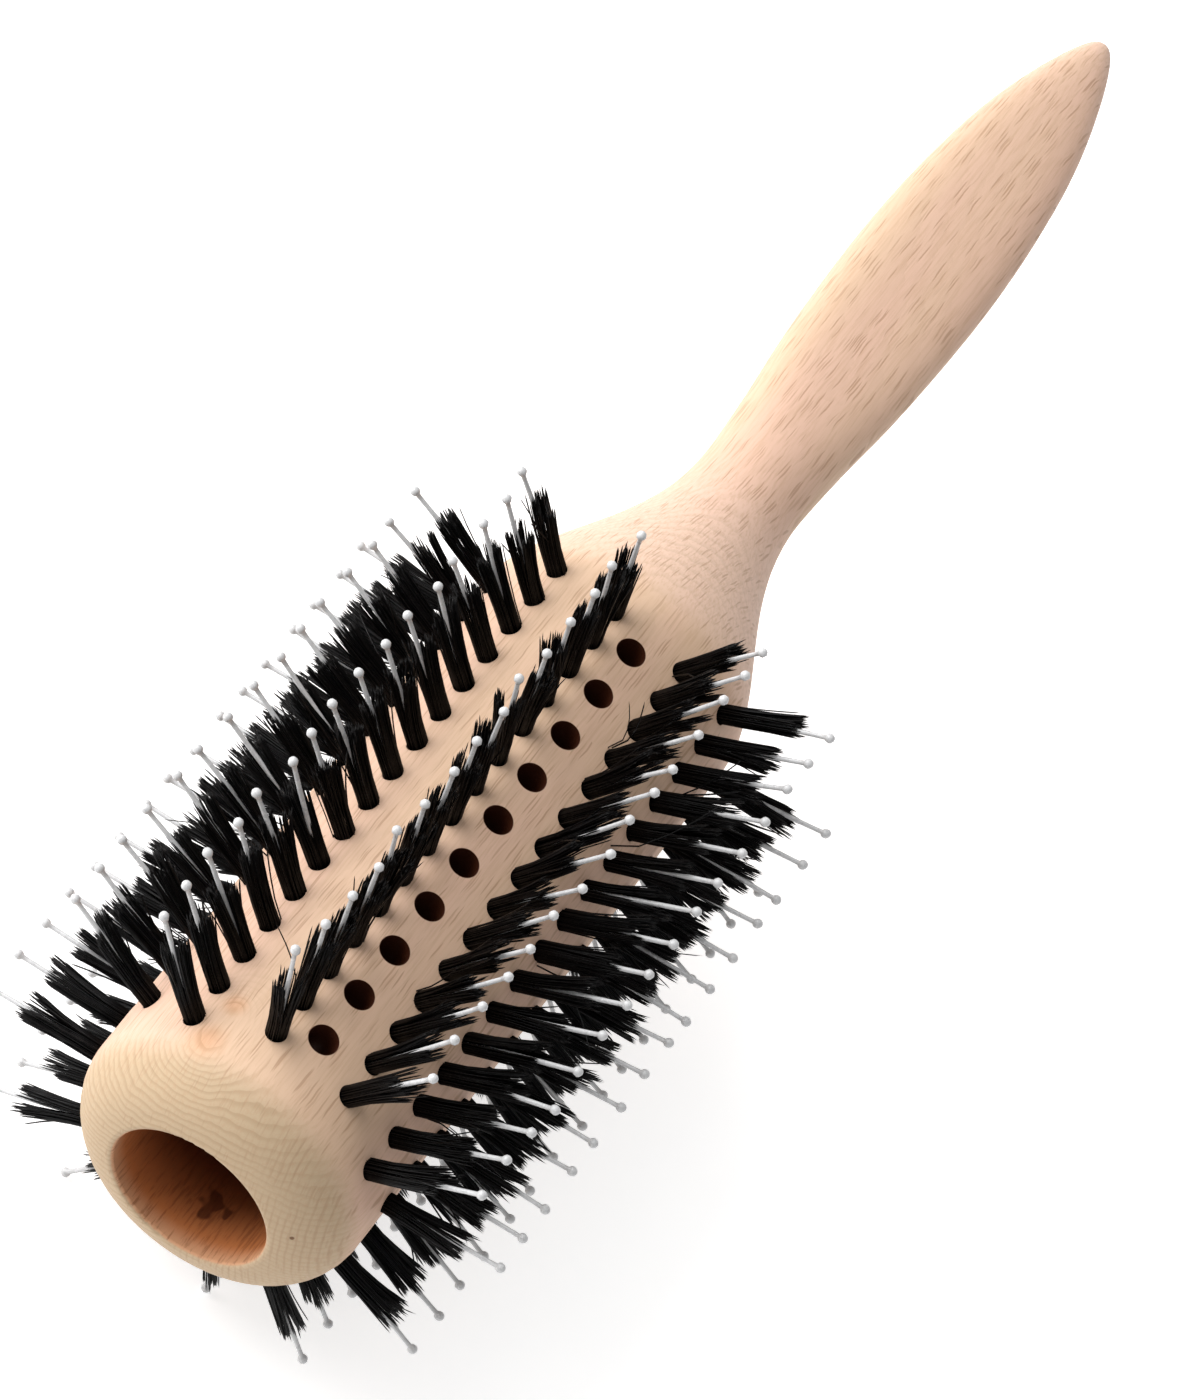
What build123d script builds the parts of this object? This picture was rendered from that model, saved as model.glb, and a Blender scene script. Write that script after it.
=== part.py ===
from build123d import *
import os
from math import cos, radians, sin

# Round barrel brush for blow-drying hair: a turned wooden body with a hollow, vented barrel,
# black bristle tufts in twelve lengthwise rows, and a ball-tipped nylon pin in every tuft.
#
# Frame, in millimetres: +X runs along the brush from the open nose to the handle tip, and +Z is
# the way the broad face of the handle looks, which is also where the first vent row is. The
# origin is the middle of the bore's mouth. Row and vent angles are measured about the axis from +Z.

# ---- driving dimensions -------------------------------------------------------------------
barrel_radius = 20.0
barrel_end = 100.0           # where the barrel starts to narrow into the shoulder
nose_length = 9.6            # the rounded front end
nose_edge_radius = 11.9      # where the rounding starts, just outside the bore
bore_radius = 11.1
bore_depth = 97.0            # to the corner where the drill's shallow point begins
bore_point_depth = 2.5
bore_point_radius = 3.0
bore_edge_round = 0.5

shoulder_lead = 9.0          # how long the shoulder stays near the barrel's width
neck_lead = 17.0             # how long it takes to settle into the neck
neck_radius = 7.95           # half the width where the shoulder has become the handle
neck_x = 140.0
neck_thickness_ratio = 0.86  # thickness over width at the neck
round_share = 0.3            # share of the shoulder's length that stays round
shoulder_stations = 9

vent_angles = [358.5, 88.5, 178.5, 268.5]    # a little off the middle of their gaps
vent_radius = 2.0
vent_count = 10
vent_pitch = 8.28
first_vent_x = 17.5

tuft_pitch = 5.8
middle_start = 11.4                         # first tuft of a row, and the same half a pitch
early_start = middle_start - tuft_pitch / 2     # nearer the nose
late_start = middle_start + tuft_pitch / 2      # and half a pitch further back
tuft_radius = 1.4
tuft_end_radius = 1.75       # the free end is a little fuller than the root
tuft_height = 12.8           # free length above the barrel
hole_depth = 6.0
pin_radius = 0.3
pin_height = 17.0            # free length above the barrel
pin_ball_radius = 0.7
anchor_length = 2.6          # the wire across the bottom of the hole
anchor_thickness = 0.5
anchor_height = 1.2

# Twelve rows in four groups of three, with a vent row between the groups: the angle, where the
# first tuft stands, and how many tufts there are.
rows = [
    (18, late_start, 15), (45, middle_start, 16), (72, late_start, 15),
    (108, middle_start, 16), (135, early_start, 16), (162, middle_start, 16),
    (198, middle_start, 16), (225, early_start, 16), (252, middle_start, 16),
    (288, late_start, 15), (315, middle_start, 16), (344, late_start, 15),
]

# Handle sections behind the neck: place along X, half width in Y, half thickness in Z, and the
# fullness of the corners. Fullness is a Bezier handle over the half width: an ellipse has 0.5523.
ellipse_fullness = 0.5523
handle_sections = [
    (146.0, 8.15, 6.25, 0.58),
    (154.0, 8.70, 5.65, 0.66),
    (163.0, 9.50, 5.25, 0.74),
    (174.0, 10.10, 5.05, 0.79),
    (186.0, 10.40, 5.00, 0.80),
    (197.0, 10.20, 5.00, 0.80),
    (207.0, 9.55, 4.90, 0.79),
    (216.0, 8.60, 4.65, 0.76),
    (224.0, 7.25, 4.25, 0.72),
    (231.0, 5.60, 3.65, 0.67),
    (236.5, 4.00, 2.95, 0.61),
    (240.2, 2.65, 2.15, ellipse_fullness),
    (242.2, 1.55, 1.35, ellipse_fullness),
    (243.0, 0.70, 0.62, ellipse_fullness),
]

FROM_BASE = (Align.CENTER, Align.CENTER, Align.MIN)
seat_radius = barrel_radius - hole_depth        # distance of the hole bottoms from the axis
overcut = 1.0                                   # how far the drills start above the barrel


def oval(half_width, half_thickness, fullness):
    """Draw an oval as four Bezier quarters, one from each half axis to the next."""
    axes = [(1, 0), (0, 1), (-1, 0), (0, -1)]
    for (ay, az), (by, bz) in zip(axes, axes[1:] + axes[:1]):
        quarter = [
            (ay, az),
            (ay + fullness * by, az + fullness * bz),
            (by + fullness * ay, bz + fullness * az),
            (by, bz),
        ]
        Bezier(*[(half_width * y, half_thickness * z) for y, z in quarter])


def radial_plane(x, angle, distance):
    """The plane square to a radius of the barrel, with its own Z pointing outwards."""
    outward = Vector(0, -sin(radians(angle)), cos(radians(angle)))
    return Plane(origin=Vector(x, 0, 0) + outward * distance, x_dir=(1, 0, 0), z_dir=outward)


def row_planes(row, distance):
    """The planes of one row's tufts, at one distance from the brush axis."""
    angle, start, count = row
    return [radial_plane(start + tuft_pitch * index, angle, distance) for index in range(count)]


def vent_planes():
    """The planes of all the vents, on the brush axis."""
    places = [first_vent_x + vent_pitch * index for index in range(vent_count)]
    return [radial_plane(x, angle, 0) for angle in vent_angles for x in places]


def save(part, name):
    part.label = name
    export_step(part, f"parts/{name}.step")


os.makedirs("parts", exist_ok=True)

# ---- wooden body: nose, barrel, shoulder, neck and handle, all one piece --------------------
shoulder_curve = Bezier(
    (barrel_end, barrel_radius),
    (barrel_end + shoulder_lead, barrel_radius),
    (neck_x - neck_lead, neck_radius),
    (neck_x, neck_radius),
)

with BuildPart() as wooden_body:
    # the rounded nose and the straight barrel, turned about the X axis
    with BuildSketch(Plane.XY):
        with BuildLine():
            Line((0, 0), (0, nose_edge_radius))
            Bezier(
                (0, nose_edge_radius), (0.7, 15.6), (3.9, barrel_radius), (nose_length, barrel_radius)
            )
            Line((nose_length, barrel_radius), (barrel_end, barrel_radius))
            Line((barrel_end, barrel_radius), (barrel_end, 0))
            Line((barrel_end, 0), (0, 0))
        make_face()
    revolve(axis=Axis.X)

    # the blind bore that the warm air goes into, with a softened mouth
    with Locations(Plane.YZ):
        Cylinder(bore_radius, bore_depth, align=FROM_BASE, mode=Mode.SUBTRACT)
    with Locations(Plane.YZ.offset(bore_depth)):
        Cone(bore_radius, bore_point_radius, bore_point_depth, align=FROM_BASE, mode=Mode.SUBTRACT)
    mouth_edges = wooden_body.edges().filter_by(GeomType.CIRCLE).group_by(Axis.X)[0]
    fillet(mouth_edges.sort_by(SortBy.RADIUS)[0], bore_edge_round)

    # the vents through the wall, and a blind hole for every tuft
    with Locations(*vent_planes()):
        Cylinder(vent_radius, barrel_radius + overcut, align=FROM_BASE, mode=Mode.SUBTRACT)
    for row in rows:
        with Locations(*row_planes(row, seat_radius)):
            Cylinder(tuft_radius, hole_depth + overcut, align=FROM_BASE, mode=Mode.SUBTRACT)

    # the shoulder, round at the barrel and flatter at the neck, and the leaf-shaped handle
    with BuildSketch(Plane.YZ.offset(barrel_end)):
        with BuildLine():
            for quarter_start in (0, 90, 180, 270):
                CenterArc((0, 0), barrel_radius, quarter_start, 90)
        make_face()
    for station in range(1, shoulder_stations + 1):
        share = station / shoulder_stations
        spot = shoulder_curve @ share
        flattening = max(0, share - round_share) / (1 - round_share)
        ratio = 1 - (1 - neck_thickness_ratio) * flattening**2
        with BuildSketch(Plane.YZ.offset(spot.X)):
            with BuildLine():
                oval(spot.Y, spot.Y * ratio, ellipse_fullness)
            make_face()
    for x, half_width, half_thickness, fullness in handle_sections:
        with BuildSketch(Plane.YZ.offset(x)):
            with BuildLine():
                oval(half_width, half_thickness, fullness)
            make_face()
    loft()
save(wooden_body.part, "wooden_body")

# ---- one tuft, one pin and one anchor, standing on the bottom of their hole -----------------
root_length = hole_depth - anchor_height        # how much of the tuft is inside the wood
tuft_top = hole_depth + tuft_height

with BuildPart() as tuft:
    with BuildSketch(Plane.XZ):
        with BuildLine():
            Polyline(
                (pin_radius, anchor_height), (tuft_radius, anchor_height), (tuft_radius, hole_depth),
                (tuft_end_radius, tuft_top), (pin_radius, tuft_top), close=True,
            )
        make_face()
    revolve(axis=Axis.Z)

with BuildPart() as pin:
    with Locations((0, 0, anchor_height)):
        Cylinder(pin_radius, root_length + pin_height - pin_ball_radius, align=FROM_BASE)
    with Locations((0, 0, hole_depth + pin_height - pin_ball_radius)):
        Sphere(pin_ball_radius)

with BuildPart() as anchor:
    Box(anchor_length, anchor_thickness, anchor_height, align=FROM_BASE)

# ---- the rows, each with its tufts, pins and anchors as separate solids ---------------------
for number, row in enumerate(rows, start=1):
    with BuildPart() as bristle_tufts:
        with Locations(*row_planes(row, seat_radius)):
            add(tuft.part)
    save(bristle_tufts.part, f"bristle_tufts_row_{number:02d}")

    with BuildPart() as nylon_pins:
        with Locations(*row_planes(row, seat_radius)):
            add(pin.part)
    save(nylon_pins.part, f"nylon_pins_row_{number:02d}")

    with BuildPart() as anchor_wires:
        with Locations(*row_planes(row, seat_radius)):
            add(anchor.part)
    save(anchor_wires.part, f"anchor_wires_row_{number:02d}")

print("wooden body volume, mm3:", round(wooden_body.part.volume))
print("tufts in all:", sum(count for _, _, count in rows))
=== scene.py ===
# %% [markdown]
# # A round barrel brush
# The brush is one turned piece of beech with a hollow, vented barrel. Twelve rows of black
# bristle tufts stand in it, and a nylon pin with a ball tip stands in the middle of every tuft.
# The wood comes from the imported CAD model, which is exact where things have to fit. The hair and
# the pins are made here, because a tuft is dozens of separate hairs and CAD holds only its outline.

# %% Load the frame
import math

import bpy
import numpy as np
from mathutils import Matrix, Vector


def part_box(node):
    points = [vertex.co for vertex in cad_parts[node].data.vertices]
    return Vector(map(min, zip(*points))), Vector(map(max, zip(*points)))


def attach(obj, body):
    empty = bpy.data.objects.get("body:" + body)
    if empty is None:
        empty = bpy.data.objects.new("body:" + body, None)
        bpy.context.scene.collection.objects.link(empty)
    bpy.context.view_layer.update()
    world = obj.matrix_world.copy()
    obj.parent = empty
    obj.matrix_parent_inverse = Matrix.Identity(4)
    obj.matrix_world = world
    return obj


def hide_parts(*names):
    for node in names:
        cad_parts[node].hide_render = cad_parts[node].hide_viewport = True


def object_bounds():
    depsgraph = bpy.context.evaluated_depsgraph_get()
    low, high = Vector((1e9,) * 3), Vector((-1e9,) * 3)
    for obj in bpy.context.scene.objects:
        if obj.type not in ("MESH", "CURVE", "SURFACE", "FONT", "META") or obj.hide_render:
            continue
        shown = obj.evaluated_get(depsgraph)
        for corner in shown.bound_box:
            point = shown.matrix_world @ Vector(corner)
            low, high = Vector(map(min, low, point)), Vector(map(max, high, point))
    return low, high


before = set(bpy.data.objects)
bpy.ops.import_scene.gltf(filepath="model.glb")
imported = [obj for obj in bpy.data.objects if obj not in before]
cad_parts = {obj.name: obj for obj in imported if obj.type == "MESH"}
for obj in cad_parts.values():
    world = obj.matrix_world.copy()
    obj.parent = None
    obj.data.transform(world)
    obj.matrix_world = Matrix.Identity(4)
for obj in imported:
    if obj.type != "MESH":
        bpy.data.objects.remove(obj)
cad_low, cad_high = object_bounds()
MM = 0.001
rows = sorted(name[-2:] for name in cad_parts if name.startswith("nylon_pins_row_"))
print("rows:", len(rows), "CAD box:", tuple(cad_low), tuple(cad_high))

# %% [markdown]
# ## The camera
# A long lens from about 0.8 m keeps the barrel's sides nearly parallel. The camera looks down at
# the brush, a little from its nose, and is rolled so that the brush runs from corner to corner.
# A heading and an elevation say where it looks, and one vector says which way is right in its
# view. Together they make the rotation matrix that Blender wants.

# %% Place the camera
camera_heading = -5.991      # where it looks, in degrees from +X towards +Y
camera_elevation = 53.822    # how far down it looks
camera_place = Vector((-0.43230, 0.05398, 0.72868))
camera_right = Vector((0.50297, -0.75354, 0.42332))
camera_lens = 177.93         # millimetres
far_enough = 20.0            # metres that the camera sees, past the whole floor

look = Vector((
    math.cos(math.radians(camera_elevation)) * math.cos(math.radians(camera_heading)),
    math.cos(math.radians(camera_elevation)) * math.sin(math.radians(camera_heading)),
    -math.sin(math.radians(camera_elevation)),
))
camera_up = camera_right.cross(look).normalized()
camera_right = look.cross(camera_up).normalized()
camera = bpy.data.objects.new("camera", bpy.data.cameras.new("camera"))
camera.data.lens = camera_lens
camera.data.clip_end = far_enough
camera.matrix_world = Matrix((
    (camera_right.x, camera_up.x, -look.x, camera_place.x),
    (camera_right.y, camera_up.y, -look.y, camera_place.y),
    (camera_right.z, camera_up.z, -look.z, camera_place.z),
    (0.0, 0.0, 0.0, 1.0),
))
bpy.context.scene.collection.objects.link(camera)
bpy.context.scene.camera = camera
print("camera looks along", tuple(round(v, 3) for v in look))

# %% [markdown]
# ## Small helpers for meshes and materials
# Every new piece is a grid of points worked out with numpy, so one helper turns arrays of points
# and faces into an object that rides on the brush and stands for its CAD node.

# %% Make a piece from arrays
def make_piece(name, points, faces, material, replaced=()):
    """A mesh object from an (n, 3) array of metres and a list of arrays of faces of equal size."""
    mesh = bpy.data.meshes.new(name)
    sizes = np.concatenate([np.full(len(block), block.shape[1]) for block in faces])
    corners = np.concatenate([block.ravel() for block in faces])
    mesh.vertices.add(len(points))
    mesh.vertices.foreach_set("co", points.astype(np.float32).ravel())
    mesh.loops.add(len(corners))
    mesh.loops.foreach_set("vertex_index", corners.astype(np.int32))
    mesh.polygons.add(len(sizes))
    mesh.polygons.foreach_set("loop_start", (np.cumsum(sizes) - sizes).astype(np.int32))
    mesh.polygons.foreach_set("use_smooth", np.ones(len(sizes), bool))
    mesh.update(calc_edges=True)
    mesh.validate()
    piece = bpy.data.objects.new(name, mesh)
    bpy.context.scene.collection.objects.link(piece)
    mesh.materials.append(material)
    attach(piece, "root")
    if replaced:
        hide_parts(*replaced)
    return piece


class Nodes:
    """A short way to write a material: its sockets are filled from a dict of values and links."""

    def __init__(self, name):
        self.material = bpy.data.materials.new(name)
        self.material.use_nodes = True
        self.tree = self.material.node_tree
        self.shader = self.tree.nodes["Principled BSDF"]

    def add(self, kind, inputs=(), **settings):
        """A new node with its settings made and its inputs filled."""
        node = self.tree.nodes.new(kind)
        for key, value in settings.items():
            setattr(node, key, value)
        self.fill(node, inputs)
        return node

    def fill(self, node, inputs):
        """Links an input where its value comes from a socket, and sets it where it is a number."""
        for socket, value in dict(inputs).items():
            if isinstance(value, bpy.types.NodeSocket):
                self.tree.links.new(value, node.inputs[socket])
            else:
                node.inputs[socket].default_value = value

    def math(self, operation, first, second=0.0, third=0.0):
        inputs = {0: first, 1: second, 2: third}
        return self.add("ShaderNodeMath", inputs, operation=operation).outputs[0]

    def blend(self, share, first, second):
        """The first colour where share is 0, the second where it is 1."""
        inputs = {0: share, 6: first, 7: second}
        return self.add("ShaderNodeMix", inputs, data_type="RGBA").outputs[2]

    def step(self, value, low, high, out_low=0.0, out_high=1.0):
        """A smooth rise from out_low to out_high while value goes from low to high."""
        node = self.add("ShaderNodeMapRange", {
            "Value": value, "From Min": low, "From Max": high,
            "To Min": out_low, "To Max": out_high,
        }, interpolation_type="SMOOTHSTEP")
        return node.outputs["Result"]


print("helpers ready")

# %% [markdown]
# ## Bare beech
# Beech shows three things. Growth rings are layers, nearly flat in a blank cut this far from the
# middle of the tree. Rays are thin upright sheets across the rings: on the handle's face, which
# cuts their edges, they are the short dark dashes that everybody knows beech by, and on the nose,
# which cuts the ends of the fibres, the same sheets are fine upright lines. Where a twig grew, the
# rings close round it in loops. A painted picture of all this would not agree from face to face,
# so the wood is a solid pattern instead: each mark is a function of the place in the blank.

# %% Rings that close round two small knots
ring_width = 1.0 * MM
pith_turn = math.radians(20)                # the tree's middle lies below and to the -Y side
pith_away = 60.0 * MM
askew = 0.22                                # the blank was sawn this much off the trunk's line
knots = [                                   # place on the wood, bump in the rings, its reach
    ((8.8 * MM, 11.4 * MM, 16.4 * MM), 6.5 * MM, 6.0 * MM),
    ((15.2 * MM, 11.3 * MM, 16.5 * MM), 5.0 * MM, 4.0 * MM),
]

beech = Nodes("bare_beech")
place = beech.add("ShaderNodeTexCoord").outputs["Object"]
facing = beech.add("ShaderNodeSeparateXYZ", {0: beech.add("ShaderNodeTexCoord").outputs["Normal"]})
axes = beech.add("ShaderNodeSeparateXYZ", {0: place})


def grains(nodes, size, turn=0.0, where=None):
    """Object coordinates counted in grains: size is one grain in millimetres along X, Y and Z."""
    where = where or nodes.add("ShaderNodeTexCoord").outputs["Object"]
    return nodes.add("ShaderNodeMapping", {
        "Vector": where, "Rotation": (turn, 0, 0), "Scale": tuple(MM * side for side in size),
    }, vector_type="TEXTURE").outputs[0]


def noise(nodes, size, detail=2.0, roughness=0.5):
    """A cloudy value from 0 to 1 whose clouds have the given size in millimetres."""
    return nodes.add("ShaderNodeTexNoise", {
        "Vector": grains(nodes, size), "Scale": 1.0, "Detail": detail, "Roughness": roughness,
    }).outputs["Fac"]


def length_of(nodes, first, second):
    """The length of a vector that has two parts: the root of the sum of their squares."""
    squares = nodes.math("MULTIPLY_ADD", first, first, nodes.math("MULTIPLY", second, second))
    return nodes.math("SQRT", squares)


def away_from(spot):
    """The distance of each point of the wood from one spot, in metres."""
    apart = beech.add("ShaderNodeVectorMath", {0: place, 1: spot}, operation="DISTANCE")
    return apart.outputs["Value"]


wander = noise(beech, (30.0, 9.0, 9.0))
wander_reach = 3.0 * MM                     # a ring strays this far over a few centimetres
quiver = noise(beech, (1.6, 1.6, 1.6), 1.0)
quiver_reach = 0.5 * MM                     # and this far over a millimetre or two
across = beech.math("MULTIPLY_ADD", axes.outputs["X"], -askew, axes.outputs["Y"])
layer = length_of(beech, beech.math("ADD", across, pith_away * math.sin(pith_turn)),
                  beech.math("ADD", axes.outputs["Z"], pith_away * math.cos(pith_turn)))
layer = beech.math("MULTIPLY_ADD", wander, wander_reach, layer)
layer = beech.math("MULTIPLY_ADD", quiver, quiver_reach, layer)
near_knot = 0.0
for knot_place, knot_bump, knot_reach in knots:
    apart = away_from(knot_place)
    falloff = beech.math("DIVIDE", apart, knot_reach)
    falloff = beech.math("MULTIPLY", falloff, falloff)
    falloff = beech.math("EXPONENT", beech.math("MULTIPLY", falloff, -1.0))
    layer = beech.math("MULTIPLY_ADD", falloff, knot_bump, layer)
    core = beech.step(apart, 0.60 * knot_reach, 0.05 * knot_reach)
    near_knot = beech.math("MAXIMUM", near_knot, core)
ring_share = beech.math("FRACT", beech.math("DIVIDE", layer, ring_width))
late_wood = beech.math("MULTIPLY", beech.step(ring_share, 0.35, 0.90),
                       beech.step(ring_share, 1.0, 0.92))
# The ends of the fibres show where the surface faces along the brush: fully on the nose, and
# partly on the shoulder, which slopes.
nose_grain = beech.step(facing.outputs["X"], -0.08, -0.55)
end_grain = beech.math("ADD", nose_grain, beech.step(facing.outputs["X"], 0.08, 0.55, 0.0, 0.45))
print("knots:", len(knots), "ring width:", ring_width)

# %% Rays and fibres
ray_size = (6.5, 0.30, 2.4)                 # room for one ray, in millimetres
shake_reach = 0.5 * MM                      # how far a ray bends sideways
shake_density = 280.0                       # bends in a metre
bends = beech.add("ShaderNodeTexNoise", {"Vector": place, "Scale": shake_density, "Detail": 1.0})
shake = beech.add("ShaderNodeVectorMath", {
    0: bends.outputs["Color"], 1: (0.0, shake_reach, 0.0), 2: place,
}, operation="MULTIPLY_ADD").outputs[0]
rays = beech.add("ShaderNodeTexVoronoi", {
    "Vector": grains(beech, ray_size, -pith_turn, shake), "Scale": 1.0, "Randomness": 0.9,
})
ray_depth = beech.add("ShaderNodeSeparateColor", {0: rays.outputs["Color"]}).outputs[0]
ray_mark = beech.math("MULTIPLY", beech.step(rays.outputs["Distance"], 0.46, 0.25),
                      beech.step(ray_depth, 0.10, 0.95))
sheet_gap = 0.85 * MM
metre = (1000.0, 1000.0, 1000.0)            # grains this large only turn the coordinates
tilted = beech.add("ShaderNodeSeparateXYZ", {0: grains(beech, metre, -pith_turn, shake)})
sheets = beech.math("PINGPONG", beech.math("DIVIDE", tilted.outputs["Y"], sheet_gap), 0.5)
sheet_side = beech.step(axes.outputs["Y"], 3 * MM, -7 * MM)      # they show on the -Y half
patchy = beech.step(noise(beech, (5.0, 5.0, 5.0)), 0.32, 0.58)
patchy = beech.math("MULTIPLY", sheet_side, patchy)
sheets = beech.math("MULTIPLY", beech.step(sheets, 0.24, 0.04), patchy)
# Rings show most on end grain, less where the sheets cross them, and round the knots everywhere.
plain_cut = beech.step(end_grain, 0.0, 1.0, 0.08, 0.40)
ring_strength = beech.math("MULTIPLY", plain_cut, beech.step(sheet_side, 0.0, 1.0, 1.0, 0.50))
ring_strength = beech.math("MAXIMUM", ring_strength, beech.math("MULTIPLY", near_knot, 0.55))
fibre = noise(beech, (7.0, 0.34, 0.34), 3.0, 0.6)
drift = noise(beech, (80.0, 14.0, 14.0))

# %% [markdown]
# Inside the bore and the vents the light that gets there has bounced from brown wall to brown wall,
# so their colour holds painted shade: much darker and redder than outside, lighter at the mouth,
# darker further in and darker still in the vents, with a dark patch of painted shade low in the
# bore. The drilled walls are found by place again: nearer to the bore's axis than its radius, or
# nearer to the axis of a vent than the vent's radius.

# %% Drilled walls
bore_radius = 11.1 * MM
bore_depth = 100.0 * MM
vent_radius = 2.0 * MM
vent_pitch = 8.28 * MM
vent_first = 17.5 * MM
vent_count = 10
vent_turn = math.radians(-1.5)              # the vent rows are turned this much from +Z and +Y

from_axis = length_of(beech, axes.outputs["Y"], axes.outputs["Z"])
bored = beech.step(from_axis, bore_radius + 0.30 * MM, bore_radius + 0.02 * MM)
bored = beech.math("MULTIPLY", bored, beech.step(axes.outputs["X"], bore_depth + MM, bore_depth))
vented = 0.0
steps_along = beech.math("SUBTRACT", axes.outputs["X"], vent_first)
steps_along = beech.math("DIVIDE", steps_along, vent_pitch)
nearest_vent = beech.math("MAXIMUM", beech.math("ROUND", steps_along), 0.0)
nearest_vent = beech.math("MINIMUM", nearest_vent, vent_count - 1.0)
along_vent = beech.math("MULTIPLY", beech.math("SUBTRACT", steps_along, nearest_vent), vent_pitch)
for turn in (vent_turn, vent_turn + math.pi / 2):
    aside = beech.math("MULTIPLY", axes.outputs["Z"], math.sin(turn))
    aside = beech.math("MULTIPLY_ADD", axes.outputs["Y"], math.cos(turn), aside)
    from_vent = length_of(beech, aside, along_vent)
    vent = beech.step(from_vent, vent_radius + 0.10 * MM, vent_radius + 0.01 * MM)
    vented = beech.math("MAXIMUM", vented, vent)
drilled = beech.math("MAXIMUM", bored, vented)
torn = noise(beech, (5.0, 0.55, 0.55), 4.0, 0.7)
shade_patch_place = (7.8 * MM, -3.6 * MM, -10.5 * MM)                   # painted shade: a dark patch low in the bore
shade_patch_raggedness = 6.0 * MM
shade_patch = beech.math("MULTIPLY_ADD", noise(beech, (1.8, 1.1, 1.1), 0.0), -shade_patch_raggedness,
                  away_from(shade_patch_place))
shade_patch = beech.step(shade_patch, -0.7 * MM, -2.0 * MM)
print("vents:", 2 * vent_count, "through holes of radius", vent_radius)

# %% The colour of the wood
yellow_beech = (0.640, 0.446, 0.310, 1)
pink_beech = (0.665, 0.440, 0.330, 1)
shoulder_lit_beech = (0.730, 0.520, 0.415, 1)
nose_shaded_beech = (0.490, 0.366, 0.238, 1)
ring_brown = (0.33, 0.218, 0.120, 1)
ray_brown = (0.32, 0.180, 0.100, 1)
sheet_brown = (0.36, 0.225, 0.130, 1)
fibre_brown = (0.46, 0.285, 0.170, 1)
knot_orange = (0.60, 0.28, 0.13, 1)
speck_brown = (0.16, 0.08, 0.04, 1)
speck_place = (0.86 * MM, -12.4 * MM, 7.45 * MM)                 # one dark pore on the nose

wood = beech.blend(beech.step(drift, 0.35, 0.65), yellow_beech, pink_beech)
# Painted light: where the surface faces +X, on the shoulder, the wood is painted lighter, and also
# pinker.
wood = beech.blend(beech.step(facing.outputs["X"], 0.05, 0.45, 0.0, 0.7), wood, shoulder_lit_beech)
# The nose is end grain, which is darker, and it is also painted darker as painted shade for the
# shadow the tufts cast on it.
wood = beech.blend(nose_grain, wood, nose_shaded_beech)
wood = beech.blend(beech.math("MULTIPLY", late_wood, ring_strength), wood, ring_brown)
wood = beech.blend(beech.math("MULTIPLY", ray_mark, beech.step(end_grain, 0.0, 1.0, 0.54, 0.25)),
                   wood, ray_brown)
wood = beech.blend(beech.math("MULTIPLY", sheets, beech.math("MULTIPLY", end_grain, 0.38)),
                   wood, sheet_brown)
wood = beech.blend(beech.step(fibre, 0.42, 0.72, 0.0, 0.32), wood, fibre_brown)
wood = beech.blend(beech.math("MULTIPLY", near_knot, 0.42), wood, knot_orange)
wood = beech.blend(beech.step(away_from(speck_place), 0.42 * MM, 0.20 * MM), wood, speck_brown)

# %% The colour of the drilled walls, with painted light and shade
lit_mouth_tan = (0.58, 0.31, 0.17, 1)
drilled_orange = (0.50, 0.175, 0.058, 1)
torn_brown = (0.17, 0.052, 0.017, 1)
painted_deep_shade = (0.066, 0.009, 0.002, 1)
painted_patch_shade = (0.055, 0.008, 0.002, 1)
vent_shade_brown = (0.055, 0.014, 0.005, 1)
# Painted light and shade: lighter at the mouth, darker further into the bore.
cut = beech.blend(beech.step(axes.outputs["X"], 0.3 * MM, 3.5 * MM), lit_mouth_tan, drilled_orange)
cut = beech.blend(beech.step(torn, 0.48, 0.66, 0.0, 0.50), cut, torn_brown)
cut = beech.blend(beech.step(axes.outputs["X"], 1.5 * MM, 15 * MM, 0.0, 0.95), cut, painted_deep_shade)
# Painted shade: a dark patch low in the bore.
cut = beech.blend(beech.math("MULTIPLY", shade_patch, 0.75), cut, painted_patch_shade)
# Painted shade: the vents are painted darker still.
cut = beech.blend(beech.math("MULTIPLY", vented, 0.85), cut, vent_shade_brown)

# %% Put the wood together
height = beech.math("MULTIPLY_ADD", ray_mark, -0.7, fibre)
height = beech.math("MULTIPLY_ADD", late_wood, -0.3, height)
height = beech.math("MULTIPLY_ADD", beech.math("MULTIPLY", drilled, torn), 2.5, height)
beech.fill(beech.shader, {
    "Base Color": beech.blend(drilled, wood, cut),
    "Roughness": beech.step(fibre, 0.3, 0.7, 0.55, 0.68),
    "Specular IOR Level": 0.2,
    "Normal": beech.add("ShaderNodeBump", {
        "Height": height, "Strength": 0.20, "Distance": 0.1 * MM,
    }).outputs[0],
})
wooden_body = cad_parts["wooden_body"]
wooden_body.data.materials.clear()
wooden_body.data.materials.append(beech.material)
print("beech on", wooden_body.name, "with", len(wooden_body.data.polygons), "faces")

# %% [markdown]
# ## Black bristle, clear nylon and wire
# Natural bristle is black but not flat: each hair has its own shade and a narrow sheen. A number
# stored on every hair, from 0 to 1, drives that difference. Nylon is milky and lets some light
# through. The wire that holds each tuft is plain drawn steel with fine lines.

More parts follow.
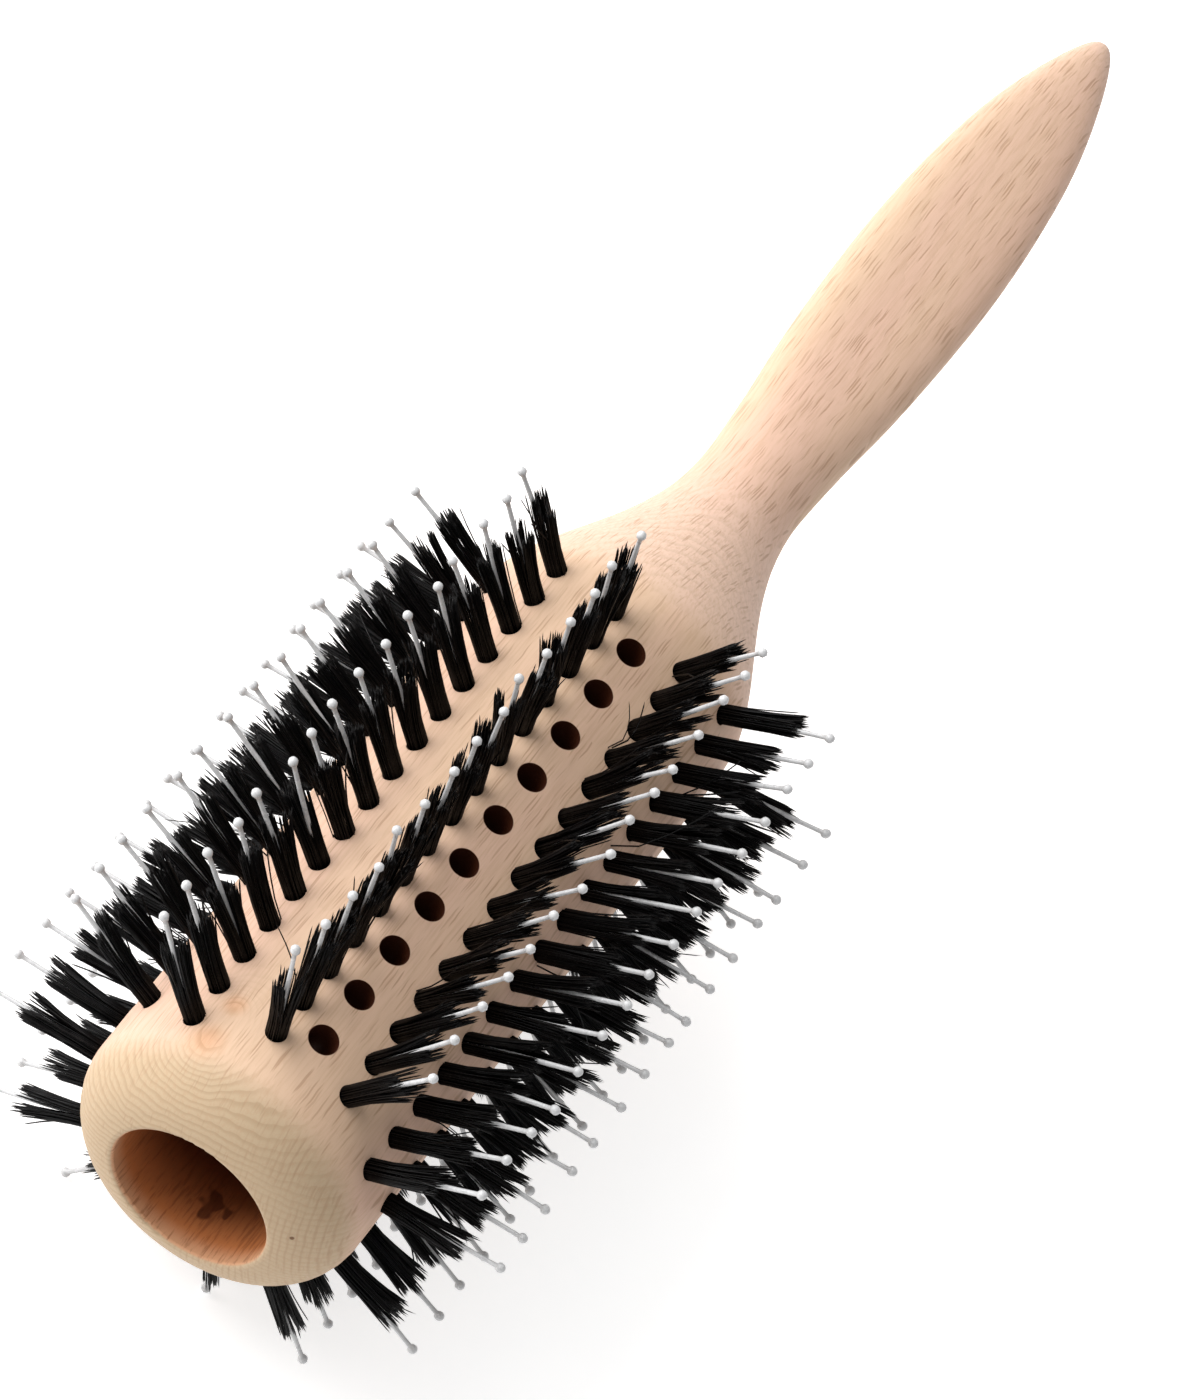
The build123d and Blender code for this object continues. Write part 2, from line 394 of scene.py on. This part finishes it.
# %% The bristle material
bristle = Nodes("black_bristle")
shade = bristle.add("ShaderNodeAttribute", attribute_name="hair_shade").outputs["Fac"]
mottle = noise(bristle, (1.1, 1.1, 1.1))
darkest_hair = (0.0010, 0.0009, 0.0011, 1)
lightest_hair = (0.0065, 0.0052, 0.0050, 1)
worn_hair = (0.0080, 0.0058, 0.0050, 1)
hair = bristle.blend(shade, darkest_hair, lightest_hair)
hair = bristle.blend(bristle.step(mottle, 0.55, 0.75, 0.0, 0.4), hair, worn_hair)
bristle.fill(bristle.shader, {
    "Base Color": hair,
    "Roughness": bristle.step(mottle, 0.3, 0.7, 0.30, 0.42),
    "Specular IOR Level": 0.15,
})

# %% The nylon material
nylon = Nodes("clear_nylon")
cloud = noise(nylon, (1.4, 1.4, 1.4))
grey_nylon = (0.55, 0.55, 0.56, 1)
milky_nylon = (0.67, 0.67, 0.67, 1)
nylon.fill(nylon.shader, {
    "Base Color": nylon.blend(cloud, grey_nylon, milky_nylon),
    "Roughness": nylon.step(cloud, 0.3, 0.7, 0.22, 0.34),
    "Transmission Weight": 0.10,
    "IOR": 1.53,
})

# %% The wire material
wire = Nodes("anchor_wire")
drawn = noise(wire, (3.0, 0.1, 0.1))
dull_steel = (0.42, 0.40, 0.36, 1)
bright_steel = (0.66, 0.64, 0.60, 1)
wire.fill(wire.shader, {
    "Base Color": wire.blend(drawn, dull_steel, bright_steel),
    "Roughness": wire.step(drawn, 0.3, 0.7, 0.28, 0.45),
    "Metallic": 1.0,
})
for row in rows:
    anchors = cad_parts[f"anchor_wires_row_{row}"]
    anchors.data.materials.clear()
    anchors.data.materials.append(wire.material)
print("materials:", [m.name for m in bpy.data.materials])

# %% [markdown]
# ## Where the tufts stand
# The CAD anchors say where every hole is. Each row's box gives its angle about the brush and its
# first and last hole, and the pitch gives the rest. A tuft's own frame has one axis along the
# brush, one round it, and one straight out.

# %% Read the rows from the frame
tuft_pitch = 5.8 * MM
anchor_half_length = 1.3 * MM
anchor_height = 1.2 * MM
barrel_radius = 20.0 * MM
hole_floor = 14.0 * MM                      # these radii are measured from the brush's axis
tuft_tip_radius = 32.8 * MM
pin_tip_radius = 37.0 * MM
tuft_radius = 1.4 * MM                      # and this one from the middle of its own hole
along = np.array([1.0, 0.0, 0.0])


def row_frame(row):
    """The tufts' places along the brush, and the row's outward and sideways directions.

    Sideways is the cross product of outward and along, so it runs round the barrel.
    """
    low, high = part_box(f"anchor_wires_row_{row}")
    first = low.x + anchor_half_length
    count = round((high.x - low.x - 2 * anchor_half_length) / tuft_pitch) + 1
    middle = (low + high) / 2
    outward = np.array([0.0, middle.y, middle.z]) / math.hypot(middle.y, middle.z)
    return first + tuft_pitch * np.arange(count), outward, np.cross(outward, along)


tuft_counts = [len(row_frame(row)[0]) for row in rows]
print("tufts in each row:", tuft_counts, "in all:", sum(tuft_counts))

# %% [markdown]
# ## Bristle tufts
# A tuft is a bundle of hairs folded into a drilled hole. The hole grips it, so the hairs leave the
# wood packed and parallel; above it they spread a little, curve each their own way, and gather
# into a few uneven points, because neighbouring hairs cling together. Every hair is a three-sided
# tapered tube on a curved line: its place is root + spread x t + curve x t squared, with t from 0
# at the root to 1 at the tip. All hairs of a row are worked out in one array.

# %% Make the bristles
hairs_per_tuft = 84
hair_radius = 0.125 * MM
clumps_per_tuft = 6
bristle_seed = 400
parting = 0.65 * MM                         # how far the pin pushes the hairs apart, each way
rings_at = np.array([0.0, 0.30, 0.55, 0.75, 0.93])
ring_taper = np.array([1.0, 1.0, 1.0, 0.95, 0.80])
golden_turn = math.pi * (3 - math.sqrt(5))
pin_room, hair_room = 0.25, 0.67            # shares of a tuft's radius for its pin and its hairs
fan = 0.30                                  # how far the outer hairs lean outwards
seat_depth = barrel_radius - hole_floor - anchor_height
hair_lean = np.array([0.055, 0.0])          # towards the handle
tuft_sway, hair_sway = 0.04, 0.015          # how unlike each other tufts lean, and hairs
stray_share, loose_share = 0.05, 0.004      # hairs that stick out a little, and a lot
stray_reach, loose_reach = 5.0, 20.0        # how many times further than the others
foot_scatter = 0.05 * MM                    # how far a foot lies from its place in the pattern
clump_spread = (0.60, 1.50)                 # where a clump's point stands, in tuft radii
clump_pull = (0.15, 0.60)                   # how far its hairs are drawn to that point
clump_height = (0.84, 1.03)                 # its share of a tuft's full height
uneven_tips = 0.14                          # the most that one hair falls short of its clump
hair_girth = (0.8, 1.15)                    # the thinnest and the thickest hair


def tuft_hairs(row, draw):
    """Points (tuft, hair, ring, side, xyz) and tips (tuft, hair, xyz) of one row's hairs.

    A hair's foot lies on a sunflower pattern, so that the tuft is evenly filled round its pin: its
    distance from the pin's room grows with the root of its number, and each hair is a golden
    turn on from the last.
    """
    places, outward, sideways = row_frame(row)
    tufts = len(places)
    number = np.arange(hairs_per_tuft) + 0.5
    ring = tuft_radius * (pin_room + hair_room * np.sqrt(number / hairs_per_tuft))
    turn = number * golden_turn + draw.uniform(0, 2 * math.pi, (tufts, 1))
    foot = np.stack([ring * np.cos(turn), ring * np.sin(turn)], -1)
    foot += draw.normal(0, foot_scatter, foot.shape)

    clump_turn = draw.uniform(0, 2 * math.pi, (tufts, clumps_per_tuft))
    clump_reach = tuft_radius * draw.uniform(*clump_spread, (tufts, clumps_per_tuft))
    clump = np.stack([clump_reach * np.cos(clump_turn), clump_reach * np.sin(clump_turn)], -1)
    clump[..., 0] += np.sign(clump[..., 0]) * parting
    apart = np.linalg.norm(foot[:, :, None] - clump[:, None], axis=-1)
    nearest = apart.argmin(-1)
    centre = np.take_along_axis(clump, nearest[..., None], 1)
    pull = draw.uniform(*clump_pull, (tufts, hairs_per_tuft, 1))
    clump_length = draw.uniform(*clump_height, (tufts, clumps_per_tuft))

    lean = draw.normal(0, tuft_sway, (tufts, 1, 2)) + hair_lean
    luck = draw.random((tufts, hairs_per_tuft, 1))
    reach = np.select([luck > 1 - loose_share, luck > 1 - stray_share],
                      [loose_reach, stray_reach], 1.0)
    stray = draw.normal(0, hair_sway, foot.shape) * reach
    length = (tuft_tip_radius - barrel_radius) * np.take_along_axis(clump_length, nearest, 1)
    length *= 1 - uneven_tips * draw.random(length.shape) ** 2.5
    tip_shift = (lean + stray) * length[..., None] + foot * fan + pull * (centre - foot)

    t = np.append(rings_at, 1.0)[None, None, :, None]
    spread = foot[:, :, None] + tip_shift[:, :, None] * (0.35 * t + 0.65 * t**2)
    out = barrel_radius + length[:, :, None, None] * t
    out[:, :, 0] -= seat_depth
    spine = (places[:, None, None, None] * along + out * outward
             + spread[..., :1] * along + spread[..., 1:] * sideways)

    side = (np.arange(3) * 2 * math.pi / 3)[None, None, None] + turn[..., None, None]
    size = draw.uniform(*hair_girth, (tufts, hairs_per_tuft, 1, 1))
    size = hair_radius * ring_taper[None, None, :, None] * size
    ring_points = (spine[:, :, :-1, None] + size[..., None] * (
        np.cos(side)[..., None] * along + np.sin(side)[..., None] * sideways))
    return ring_points, spine[:, :, -1]


def hair_faces(hairs, rings):
    """Quads between rings, three triangles round each tip, and one to close each root."""
    per_hair = rings * 3 + 1
    start = (np.arange(hairs) * per_hair)[:, None, None]
    ring = (np.arange(rings - 1) * 3)[None, :, None]
    a, b = np.arange(3)[None, None], (np.arange(3)[None, None] + 1) % 3
    quads = np.stack([start + ring + a, start + ring + b,
                      start + ring + 3 + b, start + ring + 3 + a], -1)
    last = start[:, 0] + (rings - 1) * 3
    tip = np.broadcast_to(start[:, 0] + rings * 3, (hairs, 3))
    tips = np.stack([last + a[0], last + b[0], tip], -1)
    roots = start[:, 0] + np.array([[2, 1, 0]])
    return [quads.reshape(-1, 4), tips.reshape(-1, 3), roots]


def make_row_of_bristles(row):
    """One piece with all hairs of a row, and a shade from 0 to 1 stored on each hair."""
    draw = np.random.default_rng(bristle_seed + int(row))
    rings, tips = tuft_hairs(row, draw)
    hairs = rings.shape[0] * rings.shape[1]
    points = np.concatenate([rings.reshape(hairs, -1, 3), tips.reshape(hairs, 1, 3)], 1)
    piece = make_piece(f"bristles_row_{row}", points.reshape(-1, 3),
                       hair_faces(hairs, len(rings_at)),
                       bristle.material, [f"bristle_tufts_row_{row}"])
    shade_value = np.repeat(draw.random(hairs) ** 2, points.shape[1]).astype(np.float32)
    piece.data.attributes.new("hair_shade", "FLOAT", "POINT").data.foreach_set("value", shade_value)
    return hairs


hair_total = sum(make_row_of_bristles(row) for row in rows)
print("hairs:", hair_total)

# %% [markdown]
# ## Nylon pins
# Each pin is a straight nylon wire whose end is melted into a ball, so that it glides over the
# scalp. One profile, a radius for each height, is turned about a line that leans a little, as
# pins do once they have been used. Ten rings of eight points are enough for something this thin.

# %% Make the pins
pin_radius = 0.34 * MM
ball_radius = 0.68 * MM
ball_centre = pin_tip_radius - ball_radius
ball_turns = np.radians([-62, -35, -5, 25, 52, 75])
shaft_heights = [hole_floor + anchor_height, barrel_radius + 6 * MM, barrel_radius + 12 * MM,
                 ball_centre - 1.6 * MM]
shaft_taper = np.array([1.0, 1.0, 0.95, 0.9])
pin_heights = np.concatenate([shaft_heights, ball_centre + ball_radius * np.sin(ball_turns)])
pin_widths = np.concatenate([shaft_taper * pin_radius, ball_radius * np.cos(ball_turns)])
pin_lean = np.array([0.018, 0.0])           # towards the handle, less than the hairs
pin_sway = 0.025                            # how unlike each other the pins lean
pin_sides = 8
pin_seed = 900


def make_row_of_pins(row):
    """Pins as turned profiles; the centre line is straight out plus a lean and a slight curve."""
    draw = np.random.default_rng(pin_seed + int(row))
    places, outward, sideways = row_frame(row)
    count = len(places)
    heights = np.concatenate([pin_heights, [pin_tip_radius]])
    above = np.clip(heights - barrel_radius, 0, None)[None, :, None]
    share = above / (pin_tip_radius - barrel_radius)
    shift = (pin_lean + draw.normal(0, pin_sway, (count, 1, 2))) * above * (0.6 + 0.4 * share)
    spine = (places[:, None, None] * along + heights[None, :, None] * outward
             + shift[..., :1] * along + shift[..., 1:] * sideways)
    side = (np.arange(pin_sides) * 2 * math.pi / pin_sides)[None, None, :, None]
    ring_points = spine[:, :-1, None] + pin_widths[None, :, None, None] * (
        np.cos(side) * along + np.sin(side) * sideways)
    rings = len(pin_heights)
    points = np.concatenate([
        ring_points.reshape(count, -1, 3), spine[:, -1:], spine[:, :1],
    ], 1)
    start = (np.arange(count) * (rings * pin_sides + 2))[:, None, None]
    ring = (np.arange(rings - 1) * pin_sides)[None, :, None]
    a = np.arange(pin_sides)[None, None]
    b = (a + 1) % pin_sides
    quads = np.stack([start + ring + a, start + ring + b,
                      start + ring + pin_sides + b, start + ring + pin_sides + a], -1)
    tip = np.broadcast_to(start + rings * pin_sides, (count, 1, pin_sides))
    last = start + (rings - 1) * pin_sides
    caps = [np.stack([last + a, last + b, tip], -1), np.stack([start + b, start + a, tip + 1], -1)]
    make_piece(f"pins_row_{row}", points.reshape(-1, 3),
               [quads.reshape(-1, 4), caps[0].reshape(-1, 3), caps[1].reshape(-1, 3)],
               nylon.material, [f"nylon_pins_row_{row}"])
    return count


print("pins:", sum(make_row_of_pins(row) for row in rows))

# %% [markdown]
# ## Floor and light
# The brush lies on its lowest pins on a plain pale floor. A large soft light stands off the +Y
# side, high on the left as the camera sees it. A wide weak one above the camera fills the
# shadows, and a white sky does the rest, as in a product studio. The floor glows a little, so
# that it stays as pale as studio paper.

# %% The floor
floor_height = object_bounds()[0].z
floor_reach = 3.0
pale_grey = (0.86, 0.86, 0.86, 1)
paler_grey = (0.88, 0.88, 0.88, 1)
floor_glow = 0.55
floor_mesh = bpy.data.meshes.new("floor")
floor_mesh.from_pydata(
    [(-floor_reach, -floor_reach, floor_height), (floor_reach, -floor_reach, floor_height),
     (floor_reach, floor_reach, floor_height), (-floor_reach, floor_reach, floor_height)],
    [], [(0, 1, 2, 3)],
)
floor = bpy.data.objects.new("floor", floor_mesh)
bpy.context.scene.collection.objects.link(floor)
pale = Nodes("pale_floor")
grain = pale.add("ShaderNodeTexNoise", {
    "Vector": pale.add("ShaderNodeTexCoord").outputs["Object"], "Scale": 40.0, "Detail": 3.0,
}).outputs["Fac"]
pale.fill(pale.shader, {
    "Base Color": pale.blend(grain, pale_grey, paler_grey),
    "Roughness": 0.9, "Specular IOR Level": 0.1,
    "Emission Color": (1, 1, 1, 1), "Emission Strength": floor_glow,
})
floor_mesh.materials.append(pale.material)


# %% The lights
def soft_light(name, leftward, upward, towards_camera, distance, size, power):
    """A square area light aimed at the middle of the brush, placed by the camera's directions."""
    aim = (cad_low + cad_high) / 2
    way = (-leftward * camera_right + upward * camera_up - towards_camera * look).normalized()
    lamp = bpy.data.objects.new(name, bpy.data.lights.new(name, "AREA"))
    lamp.data.shape = "SQUARE"
    lamp.data.size = size
    lamp.data.energy = power
    lamp.location = aim + way * distance
    lamp.rotation_euler = (-way).to_track_quat("-Z", "Y").to_euler()
    bpy.context.scene.collection.objects.link(lamp)
    return lamp


key = soft_light("key_light", leftward=0.44, upward=0.74, towards_camera=0.51,
                 distance=1.3, size=1.3, power=27.5)
top = soft_light("top_light", leftward=-0.1, upward=0.5, towards_camera=0.9,
                 distance=1.6, size=1.6, power=4.0)
sky_strength = 0.45
world = bpy.data.worlds.new("studio")
bpy.context.scene.world = world
world.use_nodes = True
world.node_tree.nodes["Background"].inputs["Color"].default_value = (1, 1, 1, 1)
world.node_tree.nodes["Background"].inputs["Strength"].default_value = sky_strength
bpy.context.scene.view_settings.view_transform = "Standard"
for lamp in (key, top):
    print(lamp.name, "at", tuple(round(v, 2) for v in lamp.location))
